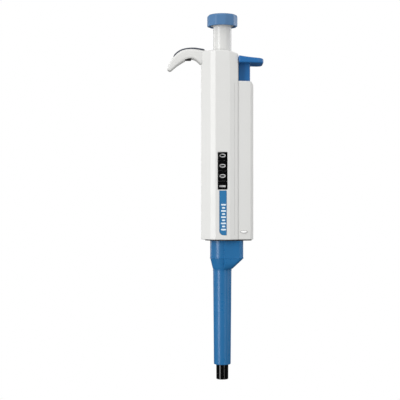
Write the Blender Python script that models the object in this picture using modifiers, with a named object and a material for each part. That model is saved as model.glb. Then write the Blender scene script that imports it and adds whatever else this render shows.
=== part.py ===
"""Adjustable air-displacement micropipette, 100 to 1000 microlitres, as an assembly of its separate pieces.

Lengths are millimetres until MM turns them into metres. Pieces are laid out in the pipette's own frame:
x = y = 0 is the piston's axis, z = 0 is the nose end, -Y is the front with the volume window,
-X is the finger hook and +X the tip ejector. The empty at the top of the parenting moves that frame so
that the world origin is the face under the finger hook that a stand carries.
"""

import math

import bmesh
import bpy
from mathutils import Matrix

MM = 0.001
GAP = 0.3                       # clearance between pieces that touch on the real object

# Handle
BODY_BOTTOM, BODY_TOP = 91.4, 213.9
BODY_LEFT, BODY_RIGHT, BODY_FRONT = -13.9, 10.2, 12.0
SIDE_CORNER_Y, BEVEL_CORNER, RIGHT_CORNER_Y = 4.6, (-7.9, -10.6), -9.8
FRONT_FACET = 4.6               # half width of the flat front facet
WALL, RIGHT_WALL = 1.6, 1.3     # the right wall is thin to leave room for the number wheels
CEILING = 209.8                 # top of the cavity inside the handle
CHANNEL_LEFT, CHANNEL_RIGHT, CHANNEL_TOP = 10.5, 20.0, 194.2
WINDOW_HALF, WINDOW_LOW, WINDOW_HIGH = 3.15, 123.7, 147.9
LABEL_LEFT, LABEL_RIGHT, LABEL_LOW, LABEL_HIGH = -2.1, 2.5, 94.4, 123.1
LATCH_X, LATCH_Z = 13.75, 96.5
SCREW_X, SCREW_HEIGHTS = -9.6, (113.0, 157.0, 199.0)
PAD_X, PAD_FACE = -22.3, 208.5  # the stand's rest face under the hook

# Plunger and knob
BORE_R = 5.0                    # 78.5 mm2, so 1000 microlitres take 12.7 mm
ROD_R = 1.9
KNOB_R, KNOB_BOTTOM, KNOB_TOP, KNOB_SIDES = 10.0, 230.4, 237.9, 10
KNOB_ANGLE = -8.0               # degrees about Z of the knob's corners
SLEEVE_R, SLEEVE_BORE, SLEEVE_LOW = 5.9, 4.9, 196.0

# Volume setting
WHEEL_R, WHEEL_BORE, WHEEL_HEIGHT = 8.5, 5.5, 6.0
WHEEL_LOW, WHEEL_PITCH = 126.0, 6.6     # centre of the lowest wheel, and the step to the next
WHEEL_NAMES = ("thousands", "hundreds", "tens", "units")
SCREW_BORE = 3.2

# Ejector
EJECT_LOW, TAPER_LOW, TAPER_HIGH, EJECT_HIGH = 9.7, 72.4, 79.4, 103.5
EJECT_R, EJECT_END = 7.9, 13.5  # left radius of the wide section, and its right end
EJECT_CORNER = 3.0
EJECT_TUBE_R, EJECT_TIP_R = 6.05, 5.65  # the round tube below the taper, and at its lower end
EJECT_WALL = 1.1
ROD_X, EJECT_ROD_R = 14.6, 1.6
PRESS_LEFT, PRESS_HALF = 10.6, 11.0     # the thumb pad's left end and half its depth
STEM_LOW, STEM_HIGH, STEM_RIGHT, STEM_HALF = 178.0, 207.5, 18.0, 4.8

COLOURS = {                     # base colour, roughness, metallic, alpha
    "white_shell": ((0.78, 0.78, 0.76), 0.42, 0.0, 1.0),
    "white_part": ((0.74, 0.74, 0.73), 0.45, 0.0, 1.0),
    "blue": ((0.055, 0.19, 0.42), 0.38, 0.0, 1.0),
    "knob_blue": ((0.11, 0.27, 0.52), 0.4, 0.0, 1.0),
    "black": ((0.006, 0.006, 0.007), 0.18, 0.0, 1.0),
    "rubber": ((0.02, 0.02, 0.021), 0.75, 0.0, 1.0),
    "slate": ((0.09, 0.11, 0.16), 0.5, 0.0, 1.0),
    "clear": ((0.9, 0.92, 0.95), 0.05, 0.0, 0.35),
    "grey_part": ((0.42, 0.43, 0.44), 0.5, 0.0, 1.0),
    "steel": ((0.62, 0.62, 0.63), 0.25, 1.0, 1.0),
    "brass": ((0.72, 0.55, 0.25), 0.3, 1.0, 1.0),
}


def clear_scene():
    for obj in list(bpy.data.objects):
        bpy.data.objects.remove(obj, do_unlink=True)


def make_collection(name):
    made = bpy.data.collections.new(name)
    bpy.context.scene.collection.children.link(made)
    return made


def make_material(name):
    colour, roughness, metallic, alpha = COLOURS[name]
    made = bpy.data.materials.new(name)
    made.use_nodes = True
    shader = made.node_tree.nodes["Principled BSDF"]
    shader.inputs["Base Color"].default_value = (*colour, 1.0)
    shader.inputs["Roughness"].default_value = roughness
    shader.inputs["Metallic"].default_value = metallic
    shader.inputs["Alpha"].default_value = alpha
    made.diffuse_color = (*colour, alpha)
    return made


clear_scene()
PARTS = make_collection("micropipette")
CUTTERS = make_collection("cutters")
MATERIALS = {name: make_material(name) for name in COLOURS}
FRAME = bpy.data.objects.new("pipette_frame", None)
FRAME.location = (-PAD_X * MM, 0.0, -PAD_FACE * MM)
PARTS.objects.link(FRAME)


# Placing and shaping

def place(name, data, finish):
    """Links an object under the frame: a part with its finish, or a cutter if finish is None."""
    obj = bpy.data.objects.new(name, data)
    obj.parent = FRAME
    if finish is None:
        CUTTERS.objects.link(obj)
        obj.hide_render = True
        obj.display_type = "WIRE"
    else:
        PARTS.objects.link(obj)
        data.materials.append(MATERIALS[finish])
    return obj


def finish_mesh(name, bm):
    bmesh.ops.recalc_face_normals(bm, faces=bm.faces)
    mesh = bpy.data.meshes.new(name)
    bm.to_mesh(mesh)
    bm.free()
    return mesh


def box(name, low, high, finish=None):
    """A rectangular block between two corners."""
    bm = bmesh.new()
    middle = [(a + b) / 2 * MM for a, b in zip(low, high)]
    size = [(b - a) * MM for a, b in zip(low, high)]
    matrix = Matrix.Translation(middle) @ Matrix.Diagonal((*size, 1.0))
    bmesh.ops.create_cube(bm, size=1.0, matrix=matrix)
    return place(name, finish_mesh(name, bm), finish)


def rod(name, radius, start, end, finish=None, axis="Z", segments=24):
    """A cylinder from start to end, two points that differ along one axis."""
    length = sum(b - a for a, b in zip(start, end))
    turn = Matrix.Rotation(math.radians(-90), 4, "X") if axis == "Y" else Matrix.Identity(4)
    middle = [(a + b) / 2 * MM for a, b in zip(start, end)]
    bm = bmesh.new()
    bmesh.ops.create_cone(
        bm, cap_ends=True, segments=segments, radius1=radius * MM, radius2=radius * MM,
        depth=abs(length) * MM, matrix=Matrix.Translation(middle) @ turn,
    )
    return place(name, finish_mesh(name, bm), finish)


def prism(name, outline, low, high, finish=None, along="Z", depth=None):
    """An outline swept from low to high. Along Z it is drawn in x and y, along Y in x and z.
    depth(x) gives the half width along Y at x, in place of low and high."""
    bm = bmesh.new()
    ends = []
    for side, level in ((-1, low), (1, high)):
        ring = []
        for a, b in outline:
            if along == "Z":
                point = (a, b, level)
            else:
                point = (a, side * depth(a) if depth else level, b)
            ring.append(bm.verts.new([value * MM for value in point]))
        bm.faces.new(ring)
        ends.append(ring)
    count = len(outline)
    for i in range(count):
        j = (i + 1) % count
        bm.faces.new((ends[0][i], ends[0][j], ends[1][j], ends[1][i]))
    return place(name, finish_mesh(name, bm), finish)


def turned(name, profile, finish=None, segments=32, closed=True, angle=0.0):
    """A turned piece. The profile, in radius and height, runs down the outer side and up the inner one;
    a profile that isn't closed starts and ends on the axis."""
    mesh = bpy.data.meshes.new(name)
    points = [(radius * MM, 0.0, height * MM) for radius, height in profile]
    edges = [(i, i + 1) for i in range(len(points) - 1)]
    if closed:
        edges.append((len(points) - 1, 0))
    mesh.from_pydata(points, edges, [])
    obj = place(name, mesh, finish)
    obj.rotation_euler.z = math.radians(angle)
    screw = obj.modifiers.new("turn", "SCREW")
    screw.angle = math.radians(360)
    screw.steps = screw.render_steps = segments
    screw.use_merge_vertices = True
    screw.merge_threshold = 0.00001
    return obj


def ring(name, inner, outer, low, high, finish=None, segments=32):
    return turned(name, [(outer, high), (outer, low), (inner, low), (inner, high)], finish, segments)


def loft(name, rings, finish=None, closed=True):
    """A skin through rings of equal point count; closed joins the last ring to the first, as in a tube."""
    bm = bmesh.new()
    rows = [[bm.verts.new([value * MM for value in point]) for point in points] for points in rings]
    count = len(rows[0])
    pairs = list(zip(rows, rows[1:])) + ([(rows[-1], rows[0])] if closed else [])
    for upper, lower in pairs:
        for i in range(count):
            j = (i + 1) % count
            bm.faces.new((upper[i], upper[j], lower[j], lower[i]))
    if not closed:
        bm.faces.new(rows[0])
        bm.faces.new(rows[-1])
    return place(name, finish_mesh(name, bm), finish)


def coil(name, centre_x, radius, wire, low, high, turns, finish="steel"):
    """A compression spring about a vertical axis at centre_x."""
    per_turn = 12
    curve = bpy.data.curves.new(name, "CURVE")
    curve.dimensions = "3D"
    curve.bevel_depth = wire * MM
    curve.bevel_resolution = 1
    curve.use_fill_caps = True
    spline = curve.splines.new("POLY")
    count = turns * per_turn + 1
    spline.points.add(count - 1)
    bottom, rise = low + wire, high - low - 2 * wire
    for i, point in enumerate(spline.points):
        turn = 2 * math.pi * i / per_turn
        height = bottom + rise * i / (count - 1)
        place_at = (centre_x + radius * math.cos(turn), radius * math.sin(turn), height)
        point.co = (*[value * MM for value in place_at], 1.0)
    return place(name, curve, finish)


def boolean(target, other, operation):
    modifier = target.modifiers.new(other.name, "BOOLEAN")
    modifier.operation = operation
    modifier.object = other
    modifier.solver = "EXACT"


def cut(target, *cutters):
    for cutter in cutters:
        boolean(target, cutter, "DIFFERENCE")


def join(target, *others):
    for other in others:
        boolean(target, other, "UNION")


# Outlines

def rounded(corners, radius, steps=3):
    """The outline through these corners with each one rounded; a corner takes at most half its sides."""
    points = []
    count = len(corners)
    for i, corner in enumerate(corners):
        before, after = corners[i - 1], corners[(i + 1) % count]
        to_before = (before[0] - corner[0], before[1] - corner[1])
        to_after = (after[0] - corner[0], after[1] - corner[1])
        len_before, len_after = math.hypot(*to_before), math.hypot(*to_after)
        cosine = (to_before[0] * to_after[0] + to_before[1] * to_after[1]) / (len_before * len_after)
        half = math.acos(max(-1.0, min(1.0, cosine))) / 2
        reach = min(radius / math.tan(half), 0.45 * len_before, 0.45 * len_after)
        start = [corner[n] + to_before[n] / len_before * reach for n in (0, 1)]
        end = [corner[n] + to_after[n] / len_after * reach for n in (0, 1)]
        for k in range(steps + 1):
            t = k / steps
            a, b, c = (1 - t) ** 2, 2 * t * (1 - t), t ** 2
            points.append(tuple(a * start[n] + b * corner[n] + c * end[n] for n in (0, 1)))
    return points


def inset(corners, wall):
    """The outline inside these corners, listed counter-clockwise, by one wall thickness."""
    points = []
    count = len(corners)
    for i in range(count):
        lines = []
        for a, b in ((corners[i - 1], corners[i]), (corners[i], corners[(i + 1) % count])):
            dx, dy = b[0] - a[0], b[1] - a[1]
            length = math.hypot(dx, dy)
            normal = (-dy / length, dx / length)
            lines.append((normal, normal[0] * a[0] + normal[1] * a[1] + wall))
        (n1, d1), (n2, d2) = lines
        det = n1[0] * n2[1] - n1[1] * n2[0]
        points.append(((d1 * n2[1] - d2 * n1[1]) / det, (n1[0] * d2 - n2[0] * d1) / det))
    return points


def mirrored(front):
    """A full outline, counter-clockwise, from its front half listed left to right."""
    return front + [(x, -y) for x, y in reversed(front)]


def smooth_path(points, steps=5):
    """Points along a curve through the given ones (Catmull-Rom)."""
    padded = [points[0], *points, points[-1]]
    path = []
    for p0, p1, p2, p3 in zip(padded, padded[1:], padded[2:], padded[3:]):
        for k in range(steps):
            t = k / steps
            path.append(tuple(
                0.5 * (2 * p1[n] + (p2[n] - p0[n]) * t
                       + (2 * p0[n] - 5 * p1[n] + 4 * p2[n] - p3[n]) * t ** 2
                       + (3 * p1[n] - p0[n] - 3 * p2[n] + p3[n]) * t ** 3)
                for n in (0, 1)
            ))
    return path + [points[-1]]


def shifted(path, distance):
    """The path moved sideways, to the left of its direction."""
    moved = []
    for i, (x, z) in enumerate(path):
        a, b = path[max(i - 1, 0)], path[min(i + 1, len(path) - 1)]
        dx, dz = b[0] - a[0], b[1] - a[1]
        length = math.hypot(dx, dz)
        moved.append((x - dz / length * distance, z + dx / length * distance))
    return moved


def circle(radius, height, count=48):
    turn = 2 * math.pi / count
    return [(radius * math.cos(i * turn), radius * math.sin(i * turn), height) for i in range(count)]


def wide_section(grow, height, count=48):
    """The ejector's wide section: half round on the left, flat sided with round corners on the right."""
    half, end, corner = EJECT_R + grow, EJECT_END + grow, EJECT_CORNER + grow
    centre = (end - corner, half - corner)
    points = []
    for i in range(count):
        turn = 2 * math.pi * i / count
        ux, uy = math.cos(turn), math.sin(turn)
        side = abs(uy)
        if ux <= 0:
            reach = half
        elif half * ux <= centre[0] * side:
            reach = half / side
        elif end * side <= centre[1] * ux:
            reach = end / ux
        else:
            along = ux * centre[0] + side * centre[1]
            off = centre[0] ** 2 + centre[1] ** 2 - along ** 2
            reach = along + math.sqrt(corner ** 2 - off)
        points.append((reach * ux, reach * uy, height))
    return points


# Handle

BODY_CORNERS = mirrored([
    (BODY_LEFT, -SIDE_CORNER_Y), BEVEL_CORNER, (-FRONT_FACET, -BODY_FRONT), (FRONT_FACET, -BODY_FRONT),
    (BODY_RIGHT, RIGHT_CORNER_Y),
])
CHANNEL_CORNERS = mirrored([(CHANNEL_LEFT, -9.6), (18.2, -8.2), (CHANNEL_RIGHT, -6.2)])
HOOK_TOP = [(-11.6, 215.7), (-20.1, 216.7), (-27.6, 215.2), (-33.2, 209.6), (-36.1, 202.6)]
HOOK_UNDER = [(-34.3, 201.4), (-30.5, 205.3), (-24.9, 208.6), (-20.8, 210.0), (-17.6, 209.2),
              (-13.9, 206.3)]
HOOK_ROOT_X, HOOK_ROOT_LOW, HOOK_HALF = -10.8, 206.3, 5.2


def sleeve_opening(name):
    """The passage at the handle's lower end that the ejector sleeve slides through."""
    low, high = wide_section(0.4, BODY_BOTTOM - 2), wide_section(0.4, EJECT_HIGH + 0.8)
    return loft(name, [high, low], closed=False)


def hook_notch(name):
    return box(name, (BODY_LEFT - 2, -HOOK_HALF - GAP, HOOK_ROOT_LOW - GAP),
               (HOOK_ROOT_X + GAP, HOOK_HALF + GAP, BODY_TOP + 2))


def shell(name, side):
    """One half of the handle: side -1 is the front, +1 the back."""
    half = [(x, y) for x, y in rounded(BODY_CORNERS, 1.2) if side * y > 0]
    seam = side * 0.5 * GAP
    first, last = half[0], half[-1]
    outline = [(first[0], seam), *half, (last[0], seam)]
    made = prism(name, outline, BODY_BOTTOM, BODY_TOP, "white_shell")
    cavity = inset(BODY_CORNERS, WALL)
    thinner = WALL - RIGHT_WALL
    cavity = [(x + thinner if x > FRONT_FACET else x, y) for x, y in cavity]
    cut(made, prism(name + "_cavity", cavity, BODY_BOTTOM + WALL, CEILING))
    for height in SCREW_HEIGHTS:
        inner, outer = side * 0.5 * GAP, side * 6.4
        tag = f"{name}_boss_{height:.0f}"
        join(made, rod(tag, 2.2, (SCREW_X, min(inner, outer), height), (SCREW_X, max(inner, outer), height),
                       axis="Y"))
    for height in SCREW_HEIGHTS:
        tag = f"{name}_screw_hole_{height:.0f}"
        if side < 0:
            cut(made, rod(tag, 1.3, (SCREW_X, -4.4, height), (SCREW_X, 1.0, height), axis="Y"))
        else:
            cut(made, rod(tag, 1.3, (SCREW_X, -1.0, height), (SCREW_X, 12.0, height), axis="Y"))
            cut(made, rod(tag + "_head", 2.0, (SCREW_X, 4.6, height), (SCREW_X, 13.0, height), axis="Y"))
    slope = [(-1.0, BODY_TOP), (FRONT_FACET, BODY_TOP - 0.6), (BODY_RIGHT + 0.01, BODY_TOP - 2.3),
             (BODY_RIGHT + 2, BODY_TOP - 2.9), (BODY_RIGHT + 2, BODY_TOP + 1), (-1.0, BODY_TOP + 1)]
    cut(made, prism(name + "_top_slope", slope, -14, 14, along="Y"))
    cut(made, rod(name + "_top_hole", SLEEVE_R + 0.5, (0, 0, CEILING - 2), (0, 0, BODY_TOP + 2),
                  segments=40))
    cut(made, sleeve_opening(name + "_sleeve_opening"), hook_notch(name + "_hook_notch"))
    return made


def handle():
    front = shell("front_shell", -1)
    cut(front, box("window_cutter", (-WINDOW_HALF, -13, WINDOW_LOW), (WINDOW_HALF, -9, WINDOW_HIGH)))
    cut(front, box("label_recess", (LABEL_LEFT - GAP, -13, LABEL_LOW - GAP),
                   (LABEL_RIGHT + GAP, -BODY_FRONT + 0.6, LABEL_HIGH + GAP)))
    shell("back_shell", 1)
    outline = rounded(CHANNEL_CORNERS, 1.4)
    cover = prism("channel_cover", outline, BODY_BOTTOM, CHANNEL_TOP, "white_shell")
    cavity = mirrored([(CHANNEL_LEFT - 1, -8.0), (16.9, -6.9), (CHANNEL_RIGHT - WALL, -5.4)])
    cut(cover, prism("channel_cavity", cavity, BODY_BOTTOM + WALL, CHANNEL_TOP - WALL))
    cut(cover, box("stem_hole", (CHANNEL_LEFT - 1, -STEM_HALF - 0.5, CHANNEL_TOP - 3),
                   (STEM_RIGHT + 0.4, STEM_HALF + 0.5, CHANNEL_TOP + 1)))
    corner = [(17.2, CHANNEL_TOP + 0.1), (CHANNEL_RIGHT + 0.1, CHANNEL_TOP - 2.8), (22, CHANNEL_TOP + 2)]
    cut(cover, prism("channel_corner", corner, -12, 12, along="Y"))
    cut(cover, sleeve_opening("cover_sleeve_opening"))
    oval = [(LATCH_X + a * 2.4, LATCH_Z + b * 1.05) for a, b in unit_circle(20)]
    cut(cover, prism("latch_hole", oval, -12, -6, along="Y"))


def unit_circle(count):
    return [(math.cos(2 * math.pi * i / count), math.sin(2 * math.pi * i / count)) for i in range(count)]


def handle_details():
    """The pieces that the handle's outside carries."""
    oval = [(LATCH_X + a * 2.1, LATCH_Z + b * 0.75) for a, b in unit_circle(20)]
    prism("cover_latch", oval, -9.3, -7.4, "white_part", along="Y")
    box("window_lens", (-WINDOW_HALF + GAP / 2, -11.9, WINDOW_LOW + GAP / 2),
        (WINDOW_HALF - GAP / 2, -10.7, WINDOW_HIGH - GAP / 2), "clear")
    mask = box("window_mask", (-4.2, -10.1, WINDOW_LOW - 1.2), (4.2, -8.9, WINDOW_HIGH + 1.2), "black")
    cut(mask, box("mask_opening", (-WINDOW_HALF, -11, WINDOW_LOW), (WINDOW_HALF, -8, WINDOW_HIGH)))
    sweep = [
        (LABEL_LEFT, LABEL_LOW + 2.6), (LABEL_LEFT + 0.5, LABEL_LOW + 1.3),
        (LABEL_LEFT + 1.5, LABEL_LOW + 0.5), (LABEL_LEFT + 2.8, LABEL_LOW), (LABEL_RIGHT, LABEL_LOW),
        (LABEL_RIGHT, LABEL_HIGH), (LABEL_LEFT, LABEL_HIGH),
    ]
    prism("label_plate", sweep, -BODY_FRONT, -BODY_FRONT + 0.4, "blue", along="Y")
    for number, height in enumerate(SCREW_HEIGHTS, 1):
        name = f"shell_screw_{number}"
        screw = rod(name, 1.7, (SCREW_X, 4.9, height), (SCREW_X, 6.2, height), "steel", axis="Y",
                    segments=20)
        shank = rod(name + "_shank", 1.0, (SCREW_X, -4.0, height), (SCREW_X, 5.2, height), axis="Y",
                    segments=16)
        join(screw, shank)


def finger_hook():
    """The hook over the index finger, with the dark strip along its top and the pad a stand carries."""
    def depth(x):
        return HOOK_HALF + min(0.0, x + 18.0) * 0.1

    top, under = smooth_path(HOOK_TOP), smooth_path(HOOK_UNDER)
    root = [(BODY_LEFT - GAP, HOOK_ROOT_LOW), (HOOK_ROOT_X, HOOK_ROOT_LOW), (HOOK_ROOT_X, 215.6)]
    tip = [(-35.9, 201.6), (-35.2, 201.1)]
    outline = top + tip + under[:-1] + root
    hook = prism("finger_hook", outline, 0, 0, "white_shell", along="Y", depth=depth)

    def band(name, thick, reach, finish=None, margin=0.0):
        path = [point for point in top if point[0] > reach]
        return prism(name, shifted(path, -margin) + shifted(path, thick)[::-1], 0, 0, finish, along="Y",
                     depth=lambda x: depth(x) - 0.2 + (1.0 if finish is None else 0.0))

    cut(hook, band("strip_rebate", 1.1, -33.0, margin=1.0))
    band("hook_strip", 0.8, -32.4, "slate")
    cut(hook, box("pad_pocket", (PAD_X - 2.2, -4.7, PAD_FACE - 2), (PAD_X + 2.2, 4.7, PAD_FACE + 2.4)))
    box("hook_rest_pad", (PAD_X - 1.9, -4.4, PAD_FACE), (PAD_X + 1.9, 4.4, PAD_FACE + 2.1), "rubber")


def frame_pieces():
    """The fixed pieces inside the handle, from the top down."""
    ring("top_bush", SLEEVE_R + GAP, 8.2, 203.4, CEILING - GAP, "grey_part", 40)
    ring("screw_nut", 4.9, 8.4, 176.6, 180.3, "brass", 32)
    frame = rod("counter_frame", 8.3, (0, 0, 151.2), (0, 0, 152.8), "white_part", segments=32)
    plate = rod("frame_lower_plate", 8.3, (0, 0, 119.8), (0, 0, 121.4), segments=32)
    back = box("frame_back", (-3.6, 6.5, 119.8), (3.6, 10.1, 152.8))
    cut(back, box("frame_back_inside", (-5, 6, 121.4), (5, 8.9, 151.2)))
    join(frame, plate, back)
    cut(frame, rod("frame_bore_upper", 5.5, (0, 0, 150), (0, 0, 154), segments=32))
    cut(frame, rod("frame_bore_lower", 3.2, (0, 0, 119), (0, 0, 122), segments=32))
    ring("counter_tube", 4.5, 5.2, 121.7, 152.6, "grey_part", 32)
    bulkhead = prism("lower_bulkhead", inset(BODY_CORNERS, WALL + GAP), 104.8, 107.8, "white_part")
    cut(bulkhead, rod("bulkhead_bore", 8.1, (0, 0, 104), (0, 0, 109), segments=40))
    ring("cylinder_nut", 6.8, 7.8, 104.6, 108.0, "grey_part", 32)
    guide = box("rod_guide", (CHANNEL_LEFT + GAP, -5.2, 150.0), (18.1, 5.2, 153.0), "white_part")
    cut(guide, rod("guide_bore", EJECT_ROD_R + GAP, (ROD_X, 0, 149), (ROD_X, 0, 154)))


# Lower end

def lower_end():
    turned("cylinder", [
        (5.7, 113.3), (5.7, 108.2), (6.5, 108.2), (6.5, 83.3), (BORE_R, 83.3), (BORE_R, 113.3),
    ], "steel", 36)
    turned("tip_cone", [
        (6.5, 83.0), (6.5, 80.5), (4.5, 77.0), (4.5, 24.0), (4.0, 14.5), (3.9, 0.5), (3.6, 0.0),
        (1.6, 0.0), (1.6, 12.0), (2.6, 76.0), (4.4, 81.0), (4.4, 83.0),
    ], "black", 36)


# Plunger, knob and volume setting

def plunger():
    turned("operating_rod", [
        (0, 235.7), (ROD_R, 235.7), (ROD_R, 133.5), (2.9, 133.5), (2.9, 130.6), (ROD_R, 130.6),
        (ROD_R, 113.3), (0, 113.3),
    ], "steel", 20, closed=False)
    ring("spring_seat", ROD_R + GAP, 4.2, 151.4, 154.2, "grey_part", 28)
    ring("stop_collar", ROD_R + GAP, 2.9, 163.0, 165.8, "steel", 24)
    ring("piston_coupling", ROD_R + GAP, 2.9, 109.5, 116.0, "brass", 24)
    turned("piston", [
        (0, 113.0), (ROD_R, 113.0), (ROD_R, 106.0), (4.7, 106.0), (4.7, 103.7), (4.0, 103.7), (4.0, 101.7),
        (4.7, 101.7), (4.7, 99.6), (0, 99.6),
    ], "steel", 32, closed=False)
    section = [(4.6 + 0.32 * a, 102.7 + 0.8 * b) for a, b in reversed(unit_circle(10))]
    turned("piston_o_ring", section, "rubber", 32)


def knob():
    edge = [(KNOB_R - 1.3 + 1.3 * math.sin(t), KNOB_TOP - 1.3 + 1.3 * math.cos(t))
            for t in (math.radians(18 * i) for i in range(6))]
    turned("push_button", [
        (0, 236.9), (7.3, 236.9), (7.3, KNOB_TOP - 0.1), *edge, (KNOB_R, KNOB_BOTTOM + 0.5),
        (KNOB_R - 0.5, KNOB_BOTTOM), (8.4, KNOB_BOTTOM), (8.2, 234.0), (2.3, 234.0), (2.3, 236.0),
        (0, 236.0),
    ], "knob_blue", KNOB_SIDES, closed=False, angle=KNOB_ANGLE)
    turned("button_cap", [(0, 238.3), (4.0, 238.2), (6.1, 237.9), (6.6, 237.5), (6.6, 237.2), (0, 237.2)],
           "knob_blue", 32, closed=False)
    sleeve = ring("dial_sleeve", SLEEVE_BORE, SLEEVE_R, SLEEVE_LOW, 233.7, "white_part", 40)
    cut(sleeve, box("spline_slots", (-5.5, -0.9, SLEEVE_LOW - 1), (5.5, 0.9, 230.0)))


def volume_drive():
    ring("stop_ring", SCREW_BORE, 6.2, 166.1, 167.7, "steel", 32)
    screw = turned("adjusting_screw", [
        (4.2, 213.0), (4.2, 192.5), (4.6, 192.0), (4.6, 168.5), (4.3, 168.0), (SCREW_BORE, 168.0),
        (SCREW_BORE, 213.0),
    ], "brass", 32)
    for name, side in (("spline_left", -1), ("spline_right", 1)):
        inner, outer = sorted((side * 3.9, side * 5.2))
        join(screw, box(name, (inner, -0.6, 200.0), (outer, 0.6, 212.8)))
    for i, digit in enumerate(WHEEL_NAMES):
        middle = WHEEL_LOW + i * WHEEL_PITCH
        low, high = middle - WHEEL_HEIGHT / 2, middle + WHEEL_HEIGHT / 2
        turned(f"wheel_{digit}", [
            (WHEEL_R, high - 0.2), (WHEEL_R, low + 0.2), (WHEEL_R - 0.2, low), (WHEEL_BORE, low),
            (WHEEL_BORE, high), (WHEEL_R - 0.2, high),
        ], "black", 40)


def blowout():
    ring("blowout_plate", SCREW_BORE, 7.2, 116.3, 117.7, "steel", 32)


# Ejector

def ejector():
    side = [(PRESS_LEFT, 210.6), (PRESS_LEFT, 206.0), (25.0, 205.5), (26.6, 206.6), (26.4, 208.7)]
    pad = rounded(side, 0.9, 2)
    button = prism("ejector_button", pad, -PRESS_HALF, PRESS_HALF, "blue", along="Y")
    join(button, box("ejector_stem", (PRESS_LEFT, -STEM_HALF, STEM_LOW),
                     (STEM_RIGHT, STEM_HALF, STEM_HIGH)))
    cut(button, rod("stem_bore", EJECT_ROD_R + GAP, (ROD_X, 0, 177), (ROD_X, 0, 190.5)))
    rod("ejector_rod", EJECT_ROD_R, (ROD_X, 0, 108.3), (ROD_X, 0, 190.2), "steel", segments=20)
    clip = rod("rod_clip", 3.0, (ROD_X, 0, 112.4), (ROD_X, 0, 113.2), "steel")
    cut(clip, rod("clip_bore", EJECT_ROD_R + GAP, (ROD_X, 0, 112), (ROD_X, 0, 114)))
    cut(clip, box("clip_mouth", (ROD_X + 0.5, -0.9, 112), (ROD_X + 4, 0.9, 114)))
    sleeve = loft("ejector_sleeve", [
        wide_section(0.0, EJECT_HIGH), wide_section(0.0, TAPER_HIGH), circle(EJECT_TUBE_R, TAPER_LOW),
        circle(EJECT_TIP_R, EJECT_LOW + 0.9), circle(EJECT_TIP_R - 0.45, EJECT_LOW),
        circle(4.25, EJECT_LOW), circle(4.25, 14.0), circle(4.8, 15.0), circle(4.8, TAPER_LOW),
        wide_section(-EJECT_WALL, TAPER_HIGH), wide_section(-EJECT_WALL, EJECT_HIGH),
    ], "blue")
    join(sleeve, box("ejector_arm", (10.9, -3.4, 101.0), (13.2, 3.4, 112.0)))
    join(sleeve, box("ejector_lug", (12.0, -3.4, 107.0), (17.8, 3.4, 112.0)))
    cut(sleeve, rod("lug_bore", EJECT_ROD_R + GAP, (ROD_X, 0, 108.0), (ROD_X, 0, 113.0)))


def springs():
    coil("main_spring", 0.0, 3.7, 0.4, 121.7, 151.1, 9)
    coil("blowout_spring", 0.0, 6.5, 0.45, 108.3, 116.0, 3)
    coil("ejector_spring", ROD_X, 2.9, 0.45, 153.3, 177.7, 7)


def shade_round_pieces():
    for obj in PARTS.objects:
        if obj.type == "MESH":
            obj.data.shade_smooth()
            obj.data.set_sharp_from_angle(angle=math.radians(35))


handle()
handle_details()
finger_hook()
frame_pieces()
lower_end()
plunger()
knob()
volume_drive()
blowout()
ejector()
springs()
shade_round_pieces()
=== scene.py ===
import math

import bmesh
import bpy
from mathutils import Matrix, Vector


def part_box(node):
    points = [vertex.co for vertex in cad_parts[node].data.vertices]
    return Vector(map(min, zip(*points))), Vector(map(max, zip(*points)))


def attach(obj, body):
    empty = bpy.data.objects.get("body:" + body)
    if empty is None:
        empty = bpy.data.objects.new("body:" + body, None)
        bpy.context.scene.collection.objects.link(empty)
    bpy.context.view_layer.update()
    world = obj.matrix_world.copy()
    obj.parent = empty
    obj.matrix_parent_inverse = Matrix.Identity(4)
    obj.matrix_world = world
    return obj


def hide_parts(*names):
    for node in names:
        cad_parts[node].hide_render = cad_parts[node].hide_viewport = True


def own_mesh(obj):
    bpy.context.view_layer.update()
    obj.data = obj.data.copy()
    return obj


# Looks of the adjustable micropipette: finer pieces, materials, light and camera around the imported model.
# Shapes are drawn in millimetres in the pipette's own frame: x = y = 0 on the piston's axis, z = 0 at the
# nose end, -Y to the front with the volume window, -X to the finger hook, +X to the tip ejector.

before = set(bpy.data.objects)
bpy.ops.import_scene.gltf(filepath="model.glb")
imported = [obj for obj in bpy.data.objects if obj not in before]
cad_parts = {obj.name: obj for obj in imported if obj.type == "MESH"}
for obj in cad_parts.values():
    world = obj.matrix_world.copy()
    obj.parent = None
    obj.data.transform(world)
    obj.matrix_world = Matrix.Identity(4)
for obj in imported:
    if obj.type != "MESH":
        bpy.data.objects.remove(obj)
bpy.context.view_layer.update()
MM = 0.001
nose_low, nose_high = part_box("tip_cone")
ORIGIN = Vector(((nose_low.x + nose_high.x) / 2, (nose_low.y + nose_high.y) / 2, nose_low.z))
TO_WORLD = Matrix.Translation(ORIGIN) @ Matrix.Scale(MM, 4)


def span(node):
    """A CAD node's lowest and highest corners in pipette millimetres."""
    low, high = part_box(node)
    return (low - ORIGIN) / MM, (high - ORIGIN) / MM


# Outlines and profiles

def rounded_path(corners, radius, steps=4):
    """An open path through these corners with the inner ones rounded."""
    points = [corners[0]]
    for before, corner, after in zip(corners, corners[1:], corners[2:]):
        corner = Vector(corner)
        back, on = Vector(before) - corner, Vector(after) - corner
        half = back.angle(on) / 2
        if half > 1.5:
            points.append(tuple(corner))
            continue
        reach = min(radius / math.tan(half), 0.45 * back.length, 0.45 * on.length)
        start = corner + back.normalized() * reach
        inward = back.normalized() + on.normalized()
        centre = corner + inward.normalized() * reach / math.cos(half)
        turn = math.copysign(math.pi - 2 * half, back.x * on.y - back.y * on.x)
        for k in range(steps + 1):
            arm = (start - centre).to_2d()
            arm.rotate(Matrix.Rotation(-turn * k / steps, 2))
            points.append(tuple(centre + arm))
    return points + [corners[-1]]


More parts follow.
